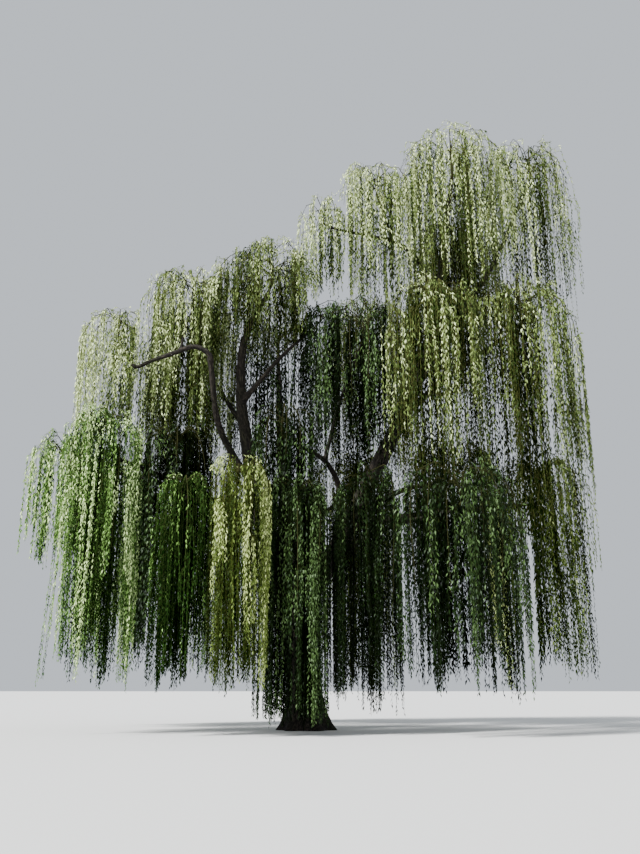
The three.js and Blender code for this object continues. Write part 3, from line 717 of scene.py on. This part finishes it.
def leaves_on(m, nodes, spacing, rng):
    """Leaves all along the strands: the four corners of each and the strand that it is on."""
    strand, order, share, root, heading = leaf_roots(m, nodes, spacing, rng)
    n = len(strand)
    around = order * LEAF_TURN + rng.uniform(0, ANY_TURN, len(nodes))[strand]
    around = around + rng.normal(0, LEAF_STRAY, n)
    side = side_of(heading)
    side = side * np.cos(around)[:, None] + np.cross(heading, side) * np.sin(around)[:, None]
    lean = rng.uniform(*LEAF_LEAN, n)[:, None]
    down = np.array([0, 0, -1.0])
    near = unit(heading * np.cos(lean) + side * np.sin(lean) + LEAF_HANG * down)
    far = unit(near + rng.uniform(*TIP_HANG, n)[:, None] * down)
    roll = rng.uniform(-LEAF_ROLL, LEAF_ROLL, n)[:, None]
    flat = unit(np.cross(near, heading + OFF_HEADING * side))
    wide = flat * np.cos(roll) + np.cross(near, flat) * np.sin(roll)
    inner = np.clip(1 - depth_in(m, root) / INNER_DEPTH, 0, 1)[:, None]
    size = m["leaf"] * (1 + (INNER_LEAF - 1) * inner) * rng.uniform(*LEAF_LENGTHS, n)[:, None]
    size = size * (1 - LAST_LEAF * share[:, None] ** 3)
    half = wide * size * LEAF_WIDTH / 2
    middle = root + near * size * LEAF_PARTS[0]
    tip = middle + far * size * LEAF_PARTS[1]
    return np.stack([root, middle - half, middle + half, tip], axis=1), strand


# Materials
def plain(name, color, roughness, specular=0.15):
    material = bpy.data.materials.new(name)
    material.use_nodes = True
    shader = material.node_tree.nodes["Principled BSDF"]
    shader.inputs["Base Color"].default_value = (*color, 1)
    shader.inputs["Roughness"].default_value = roughness
    shader.inputs["Specular IOR Level"].default_value = specular
    return material


# Leaf colours, painted from the shaded to the sunlit, for each tint of the record: lit and shaded
# copies of one leaf colour. All four of "deep" are painted shade, for the masses that stand in the
# crown's shade.
PAINTED_SHADES = {
    "light": [(0.004, 0.009, 0.001), (0.03, 0.053, 0.01), (0.17, 0.235, 0.065), (0.6, 0.7, 0.34)],
    "fresh": [(0.002, 0.008, 0.001), (0.02, 0.055, 0.007), (0.16, 0.3, 0.065), (0.58, 0.76, 0.32)],
    "olive": [(0.003, 0.008, 0.001), (0.026, 0.048, 0.006), (0.15, 0.215, 0.042), (0.5, 0.6, 0.22)],
    "deep": [
        (0.0006, 0.002, 0.0004), (0.0025, 0.008, 0.001), (0.011, 0.028, 0.005), (0.06, 0.11, 0.03),
    ],
}
# How many shades of painted light a mass gets beyond what its place gives it; below 0 they are
# painted shade
MASS_PAINTED_LIGHT = {
    "top_dome": 0.4, "far_right_dome": 0.3, "top_left_arm_dome": 1.3, "top_left_dome": 1.2,
    "upper_left_tip": 1.4, "upper_left_shoulder": 0.5, "upper_left_right_side": 0.4,
    "middle_right_dome": 0.45, "right_dome": -0.6, "right_outer_dome": -0.5,
    "left_curtain": 0.25, "left_outer_curtain": 0.4, "left_inner_curtain": -0.7,
    "back_top_dome": -0.7, "back_right_dome": -0.6, "back_left_dome": -0.5,
    "front_left_curtain": -1.1, "front_column": 0.1,
}
# One leaf material for each painted shade of a tint, from painted shade to painted sunlight
LEAVES_IN_PAINTED_SHADES = {
    tint: [
        plain(f"leaf_{tint}_{k}", color, LEAF_ROUGHNESS, LEAF_GLOSS * k)
        for k, color in enumerate(colors)
    ]
    for tint, colors in PAINTED_SHADES.items()
}
# The twigs take their mass's tint: partly their own colour, partly painted shade, darkest in "deep"
# as its leaves are
TWIG_COLORS = {
    "light": (0.11, 0.12, 0.035), "fresh": (0.05, 0.085, 0.02),
    "olive": (0.08, 0.095, 0.02), "deep": (0.01, 0.014, 0.004),
}
TWIGS = {
    tint: plain(f"twig_{tint}", color, TWIG_ROUGHNESS, 0) for tint, color in TWIG_COLORS.items()
}
WITHE = plain("withe", (0.035, 0.036, 0.014), WITHE_ROUGHNESS, 0)


def painted_shade_of(m, nodes, tress, strand, places, rng):
    """Which painted shade each leaf takes: one for a spray, painted light toward the dome and the
    outside, painted shade toward the axis.
    """
    depth = depth_in(m, nodes.mean(axis=1))
    tress_tone, spray_tone = m["habit"]["tones"]
    of_tress = rng.normal(0, tress_tone, tress.max() + 1)[tress]
    of_spray = rng.normal(0, spray_tone, (len(nodes), SPRAYS))
    spray = ((nodes[strand, 0, 2] - places[:, 2]) / SPRAY_LENGTH).astype(int) % SPRAYS
    high = np.clip((places[:, 2] - m["bottom"]) / (m["top"] - m["bottom"]), 0, 1)
    # Painted shade at the axis and painted light toward the outline, then more painted light toward
    # the top
    of_strand = PAINTED_DEPTH_LIGHT * depth**2 + m["habit"]["base"] + of_tress
    painted_light = MASS_PAINTED_LIGHT.get(m["name"], 0) + of_strand[strand]
    painted_light = painted_light + m["habit"]["high"] * high + of_spray[strand, spray]
    return np.clip(np.round(painted_light), 0, len(LEAVES_IN_PAINTED_SHADES[m["tint"]]) - 1).astype(int)


# Growing every mass
def weight_of(m):
    """A mass's part in the number of strands."""
    size = m["reach"].mean() * (m["top"] - m["bottom"]) ** HEIGHT_POWER
    return DENSITY.get(m["name"], 1) * m["fullness"] * size


def grow(k, m, wanted):
    """The leader, the withes and about so many strands of a mass."""
    rng = np.random.default_rng(FIRST_SEED + k)
    leader = leader_of(m)
    withes = withes_of(m, leader, rng)
    nodes, tress = strands_of(m, withes, wanted, rng)
    return {
        "mass": m, "leader": leader, "withes": withes, "nodes": nodes, "tress": tress, "rng": rng,
    }


def bare_of(grown_mass):
    """The leader and the withes of a mass as tubes."""
    m, leader = grown_mass["mass"], grown_mass["leader"]
    share = np.linspace(0, 1, LEADER_NODES)
    end_radius = limbs[m["limb"]]["end_radius"]
    radius = LEADER_START * end_radius + share * (LEADER_END - LEADER_START) * end_radius
    parts = [tubes(leader.at(share)[None], radius[None], LEADER_SIDES)]
    share = np.linspace(0, 1, WITHE_NODES)
    paths = np.stack([w["line"].at(share * w["drawn"]) for w in grown_mass["withes"]])
    radii = WITHE_RADIUS[0] + (WITHE_RADIUS[1] - WITHE_RADIUS[0]) * share**WITHE_TAPER
    parts.append(tubes(paths, np.broadcast_to(radii, paths.shape[:2]), WITHE_SIDES))
    return joined(parts)


def dress(grown_mass, spacing):
    """The twigs and the leaves of one mass, each kind a piece, standing for its CAD node."""
    m, rng, nodes, tress = (grown_mass[key] for key in ("mass", "rng", "nodes", "tress"))
    bare = bare_of(grown_mass)
    radii = STRAND_RADIUS[0] + (STRAND_RADIUS[1] - STRAND_RADIUS[0]) * STRAND_SHARES
    fine = tubes(nodes, np.broadcast_to(radii, nodes.shape[:2]), STRAND_SIDES)
    kind = np.repeat([0, 1], [len(bare[1]), len(fine[1])])
    places, faces = joined([bare, fine])
    twigs = mesh_object(f"{m['name']}_twigs", places, faces, [WITHE, TWIGS[m["tint"]]], kind)

    blades, strand = leaves_on(m, nodes, spacing * m["leaf"] ** 2, rng)
    centres = blades.mean(axis=1)
    clear = blades[..., 2].min(axis=1) > GROUND_CLEARANCE / 2
    clear &= ~touches_wood(m, centres, LEAF_CLEARANCE)
    shade = painted_shade_of(m, nodes, tress, strand[clear], centres[clear], rng)
    corners = 4 * np.arange(len(shade))[:, None]
    faces = np.concatenate([corners + [0, 2, 1], corners + [1, 2, 3]], axis=1).reshape(-1, 3)
    places = blades[clear].reshape(-1, 3)
    name, kind = f"{m['name']}_leaves", np.repeat(shade, 2)
    leaves = mesh_object(name, places, faces, LEAVES_IN_PAINTED_SHADES[m["tint"]], kind)
    for piece in (twigs, leaves):
        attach(piece, "root")
        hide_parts(m["name"])


def strand_length(nodes):
    return np.linalg.norm(np.diff(nodes, axis=1), axis=2).sum()


weights = np.array([weight_of(m) for m in masses])
grown = [grow(k, m, STRANDS_IN_ALL * weights[k] / weights.sum()) for k, m in enumerate(masses)]
spacing = sum(strand_length(g["nodes"]) / g["mass"]["leaf"] ** 2 for g in grown) / LEAVES_IN_ALL
for grown_mass in grown:
    dress(grown_mass, spacing)


# Bark: one skin over the trunk and all the limbs, remeshed, with furrows along each limb
def capped(places, sides):
    """Rings of places as a closed tube."""
    rings = len(places) // sides
    first = np.arange(rings - 1)[:, None] * sides
    k = np.arange(sides)
    here, after = (first + k).ravel(), (first + (k + 1) % sides).ravel()
    walls = np.concatenate([
        np.stack([here, after, here + sides], axis=1),
        np.stack([after, after + sides, here + sides], axis=1),
    ])
    last = len(places) - sides
    foot = np.stack([(k + 1) % sides, k, np.full(sides, len(places))], axis=1)
    head = np.stack([last + k, last + (k + 1) % sides, np.full(sides, len(places) + 1)], axis=1)
    ends = np.stack([places[:sides].mean(axis=0), places[last:].mean(axis=0)])
    return np.vstack([places, ends]), np.vstack([walls, foot, head])


def trunk_shell(sides=48, step=0.1):
    height = np.r_[-BELOW_CUT, np.arange(0, TRUNK_TOP, step), TRUNK_TOP]
    angle = 2 * math.pi * np.arange(sides) / sides
    spokes = np.stack([np.cos(angle), np.sin(angle), 0 * angle], axis=1)
    radius = trunk_radius(height[:, None], angle)
    places = trunk_centre(height)[:, None] + spokes * radius[..., None]
    return capped(places.reshape(-1, 3), sides)


def limb_shell(limb, sides=20, step=0.2, fewest=6):
    share = np.linspace(0, 1, max(fewest, int(limb["line"].length / step)))
    paths, _ = tubes(limb["line"].at(share)[None], limb_radius(limb, share)[None], sides)
    return capped(paths, sides)


def remesh(obj):
    """Grows the shells into one skin, smoothed where they meet."""
    modifier = obj.modifiers.new("remesh", "REMESH")
    modifier.mode = "VOXEL"
    modifier.voxel_size = BARK_VOXEL
    smooth = obj.modifiers.new("smooth", "SMOOTH")
    smooth.factor, smooth.iterations = BARK_SMOOTH
    graph = bpy.context.evaluated_depsgraph_get()
    mesh = bpy.data.meshes.new_from_object(obj.evaluated_get(graph))
    obj.modifiers.clear()
    obj.data = mesh


def cut_level(obj):
    """Cuts the trunk off flat at ground level."""
    work = bmesh.new()
    work.from_mesh(obj.data)
    every = work.verts[:] + work.edges[:] + work.faces[:]
    level = {"plane_co": (0, 0, 0), "plane_no": (0, 0, -1), "clear_outer": True}
    cut = bmesh.ops.bisect_plane(work, geom=every, **level)
    rim = [e for e in cut["geom_cut"] if isinstance(e, bmesh.types.BMEdge)]
    bmesh.ops.contextual_create(work, geom=rim)
    work.to_mesh(obj.data)
    work.free()


def centre_samples(trunk_step=0.1, limb_step=0.15):
    """Down the middle of the wood: place, heading, radius, its slope, length so far and limb."""
    height = np.arange(0, FORK_HEIGHT, trunk_step)
    radius = trunk_radius(height, 0)
    slope = np.gradient(radius, height)
    upright = np.tile([0, 0, 1.0], (len(height), 1))
    rows = [np.c_[trunk_centre(height), upright, radius, slope, height, 0 * height]]
    for k, limb in enumerate(limbs.values(), 1):
        line = limb["line"]
        share = np.linspace(0, 1, int(line.length / limb_step) + 2)
        along = share * line.length
        radius = limb_radius(limb, share)
        slope = np.gradient(radius, along)
        along = along + line.places[0, 2]  # so that the trunk's furrows go on into the main limbs
        number = np.full(len(share), k)
        rows.append(np.c_[line.at(share), line.heading(share), radius, slope, along, number])
    return np.vstack(rows)


def vertex_vectors(mesh, name):
    """The vertices' places or normals."""
    values = np.empty(len(mesh.vertices) * 3, np.float32)
    mesh.vertices.foreach_get(name, values)
    return values.reshape(-1, 3).astype(float)


def nearest_samples(samples, places, looked_at=12):
    """For each place its nearest sample, and how clear it is of other limbs, 0 where two meet."""
    tree = kdtree.KDTree(len(samples))
    for k, place in enumerate(samples[:, :3]):
        tree.insert(place, k)
    tree.balance()
    limb = samples[:, -1]
    nearest = np.empty(len(places), int)
    clear = np.ones(len(places))
    for k, place in enumerate(places):
        found = tree.find_n(place, looked_at)
        _, nearest[k], own_distance = found[0]
        others = [distance for _, index, distance in found if limb[index] != limb[nearest[k]]]
        if others:
            clear[k] = min(1, (others[0] - own_distance) / SEAM)
    return samples[nearest], clear


def furrow(obj):
    """Raises the bark's ridges, and keeps for the shader where on its limb each place lies."""
    mesh = obj.data
    places, normals = vertex_vectors(mesh, "co"), vertex_vectors(mesh, "normal")
    own, clear = nearest_samples(centre_samples(), places)
    heading, radius, slope, along = own[:, 3:6], own[:, 6], own[:, 7], own[:, 8]
    away = places - own[:, :3]
    step = (away * heading).sum(axis=1)
    radius = radius + slope * step
    across = away - step[:, None] * heading
    distance = np.maximum(np.linalg.norm(across, axis=1, keepdims=True), 1e-6)
    grain = across / distance * radius[:, None]
    grain += heading * ((along + step) * GRAIN_STRETCH)[:, None]
    scaled = [Vector(place * FURROW_SCALE) for place in grain]
    ridge = np.array([noise.ridged_multi_fractal(place, *FURROWS) for place in scaled])
    relief = np.clip(radius / TRUNK_RADIUS, THIN_RELIEF, 1) ** RELIEF_POWER * BARK_RELIEF
    height = relief * (ridge - ridge.mean()) / ridge.std()
    height *= clear  # so that no furrow breaks off where two limbs meet
    normals[:, 2] *= np.clip(places[:, 2] / CUT_ZONE, 0, 1)
    places += normals * np.clip(height, -2 * BARK_RELIEF, 2 * BARK_RELIEF)[:, None]
    mesh.vertices.foreach_set("co", places.astype(np.float32).ravel())
    kept = mesh.attributes.new("grain", "FLOAT_VECTOR", "POINT")
    kept.data.foreach_set("vector", grain.astype(np.float32).ravel())
    mesh.update()


def bark_material():
    material = bpy.data.materials.new("willow_bark_in_painted_shade")
    material.use_nodes = True
    nodes, link = material.node_tree.nodes, material.node_tree.links.new

    def node_with(kind, values):
        node = nodes.new(kind)
        for name, value in values.items():
            node.inputs[name].default_value = value
        return node

    shader = nodes["Principled BSDF"]
    shader.inputs["Roughness"].default_value = 0.92
    shader.inputs["Specular IOR Level"].default_value = 0.25

    grain = nodes.new("ShaderNodeAttribute")
    grain.attribute_name = "grain"
    ridges = node_with("ShaderNodeTexNoise", {"Scale": 16, "Detail": 7, "Roughness": 0.62})
    link(grain.outputs["Vector"], ridges.inputs["Vector"])
    patches = node_with("ShaderNodeTexNoise", {"Scale": 1.3, "Detail": 4})
    link(grain.outputs["Vector"], patches.inputs["Vector"])

    # Dark furrows and lighter ridges: the bark's own grain with painted shade in the furrows. All
    # these colours are kept dark as painted shade, for limbs that stand in the crown's shade.
    ramp = nodes.new("ShaderNodeValToRGB")
    ramp.color_ramp.elements[0].position = 0.36
    ramp.color_ramp.elements[0].color = (0.004, 0.003, 0.0025, 1)
    ramp.color_ramp.elements[1].position = 0.68
    ramp.color_ramp.elements[1].color = (0.055, 0.044, 0.034, 1)
    middle = ramp.color_ramp.elements.new(0.5)
    middle.color = (0.013, 0.0105, 0.008, 1)
    link(ridges.outputs["Fac"], ramp.inputs["Fac"])
    moss = nodes.new("ShaderNodeMix")  # sockets 0, 6, 7 and output 2 are its factor and colours
    moss.data_type = "RGBA"
    moss.blend_type = "MULTIPLY"
    moss.inputs[7].default_value = (0.72, 0.86, 0.6, 1)
    where = node_with("ShaderNodeMapRange", {"From Min": 0.45, "From Max": 0.62})
    link(patches.outputs["Fac"], where.inputs["Value"])
    link(where.outputs["Result"], moss.inputs[0])
    link(ramp.outputs["Color"], moss.inputs[6])
    link(moss.outputs[2], shader.inputs["Base Color"])

    bump = node_with("ShaderNodeBump", {"Strength": 0.8, "Distance": 0.025})
    link(ridges.outputs["Fac"], bump.inputs["Height"])
    link(bump.outputs["Normal"], shader.inputs["Normal"])
    return material


shells = [trunk_shell()] + [limb_shell(limb) for limb in limbs.values()]
bark = mesh_object("bark", *joined(shells), [])
remesh(bark)
furrow(bark)
cut_level(bark)
bark.data.materials.append(bark_material())
bark.data.shade_smooth()
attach(bark, "root")
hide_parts("trunk", *limbs)

# Camera, light and floor
camera = placed("camera", bpy.data.cameras.new("camera"))
camera.location = CAMERA_AT
camera.rotation_euler = (math.pi / 2 + CAMERA_PITCH, 0, 0)
camera.data.sensor_width = SENSOR
camera.data.lens = SENSOR * FOCAL_PX / PHOTO_HEIGHT
camera.data.clip_end = VIEW_END
bpy.context.scene.camera = camera

sun = placed("key", bpy.data.lights.new("key", "SUN"))
sun.data.energy, sun.data.angle = SUN_STRENGTH, SUN_WIDTH
sun.rotation_euler = Vector(SUN_FROM).to_track_quat("Z", "Y").to_euler()

world = bpy.data.worlds.new("studio")
world.use_nodes = True
sky = world.node_tree.nodes["Background"]
sky.inputs["Color"].default_value = (*SKY_COLOR, 1)
sky.inputs["Strength"].default_value = SKY_STRENGTH
bpy.context.scene.world = world

floor_mesh = bpy.data.meshes.new("floor")
corners = [(x * FLOOR_SPAN, y * FLOOR_SPAN, 0) for x, y in ((-1, -1), (1, -1), (1, 1), (-1, 1))]
floor_mesh.from_pydata(corners, [], [(0, 1, 2, 3)])
floor = placed("floor", floor_mesh)
floor.data.materials.append(plain("floor", FLOOR_COLOR, FLOOR_ROUGHNESS))
